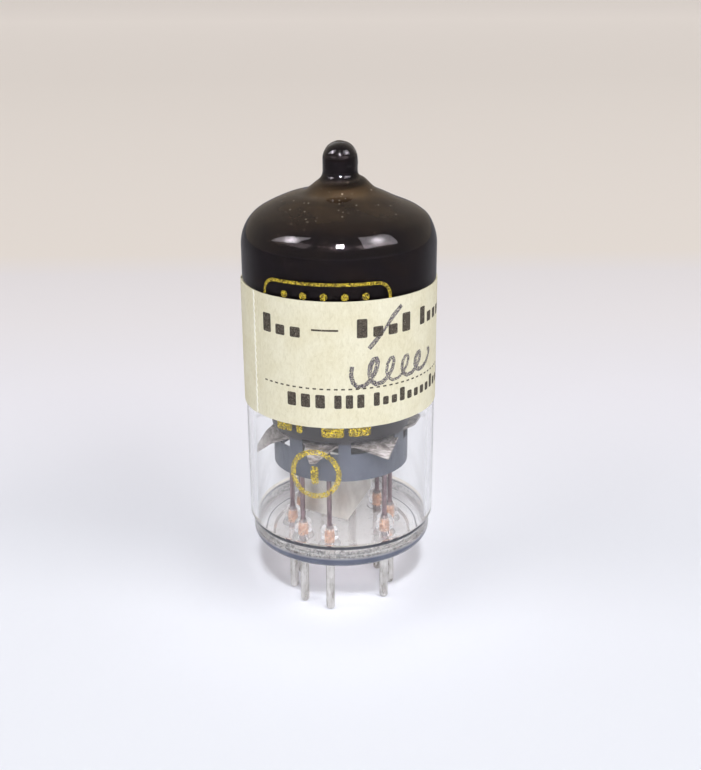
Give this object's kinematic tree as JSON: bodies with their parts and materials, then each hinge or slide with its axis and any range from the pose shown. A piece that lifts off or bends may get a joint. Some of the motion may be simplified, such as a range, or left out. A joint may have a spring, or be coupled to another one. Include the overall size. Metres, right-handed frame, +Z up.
{
  "type": "vacuum tube",
  "caption": "Miniature all-glass vacuum tube with a stubby dark mirrored dome, an exhaust tip, a paper band, a dark inner screen and stiff contact pins.",
  "frame": {"origin": "middle of the pin circle on the plane that the pin tips stand on", "axes": "+Z up the tube's axis from the pins to the exhaust tip; -Y towards the front of the label; the wide gap between the pins is 22.4 degrees from -Y towards +X"},
  "size_m": [0.0223, 0.0222, 0.055],
  "materials": {
    "bulb_glass": "clear blown glass, polished by the flame",
    "base_glass": "clear pressed glass, slightly grey, with small seeds",
    "pin_metal": "drawn nickel-iron, dull silver with stains and fine scratches",
    "copper_seal": "copper-clad seal wire, orange where the glass has wetted it",
    "lead_wire": "oxidised nickel wire, purple brown",
    "screen_sheet": "carbonised nickel sheet, dark blue grey, satin",
    "plate_sheet": "bright nickel sheet, slightly yellowed",
    "mica": "silvery brown mica, split at its edges",
    "anode_sheet": "carbonised sheet, matt black",
    "nickel": "plain nickel, dull",
    "cathode_oxide": "white sprayed oxide, matt",
    "tungsten": "drawn tungsten wire, grey",
    "alumina": "white insulating coat, matt",
    "grid_rod": "plain round rod, dull copper",
    "grid_wire": "fine drawn wire",
    "getter_channel": "fired getter ring, dull grey",
    "getter_film": "flashed metal mirror, near black, brown towards the top",
    "label_paper": "aged cream paper, uncoated, fine fibres",
    "yellow_print": "worn speckled yellow print fired on the glass",
    "black_ink": "dark printing ink soaked into paper",
    "pencil": "soft grey pencil strokes, grainy"
  },
  "bodies": {
    "root": {"anode": "anode_sheet", "cathode_coating": "cathode_oxide", "cathode_sleeve": "nickel", "control_grid_rods": "grid_rod", "control_grid_winding": "grid_wire", "getter_film": "getter_film", "getter_posts": "nickel", "getter_ring": "getter_channel", "glass_base": "base_glass", "glass_bulb": "bulb_glass", "heater": "tungsten", "heater_insulation": "alumina", "lead_1_screen_grid": "lead_wire", "lead_2_shield_right": "lead_wire", "lead_3_cathode": "lead_wire", "lead_4_heater_right": "lead_wire", "lead_5_heater_left": "lead_wire", "lead_6_anode": "lead_wire", "lead_7_shield_left": "lead_wire", "lead_8_suppressor_grid": "lead_wire", "lead_9_control_grid": "lead_wire", "lower_mica": "mica", "paper_label": "label_paper", "pin_1": "pin_metal", "pin_2": "pin_metal", "pin_3": "pin_metal", "pin_4": "pin_metal", "pin_5": "pin_metal", "pin_6": "pin_metal", "pin_7": "pin_metal", "pin_8": "pin_metal", "pin_9": "pin_metal", "screen_can": "screen_sheet", "screen_grid_rods": "grid_rod", "screen_grid_winding": "grid_wire", "screen_skirt": "screen_sheet", "screening_plate": "plate_sheet", "seal_wire_1": "copper_seal", "seal_wire_2": "copper_seal", "seal_wire_3": "copper_seal", "seal_wire_4": "copper_seal", "seal_wire_5": "copper_seal", "seal_wire_6": "copper_seal", "seal_wire_7": "copper_seal", "seal_wire_8": "copper_seal", "seal_wire_9": "copper_seal", "suppressor_grid_rods": "grid_rod", "suppressor_grid_winding": "grid_wire", "upper_mica": "mica"}
  },
  "joints": []
}
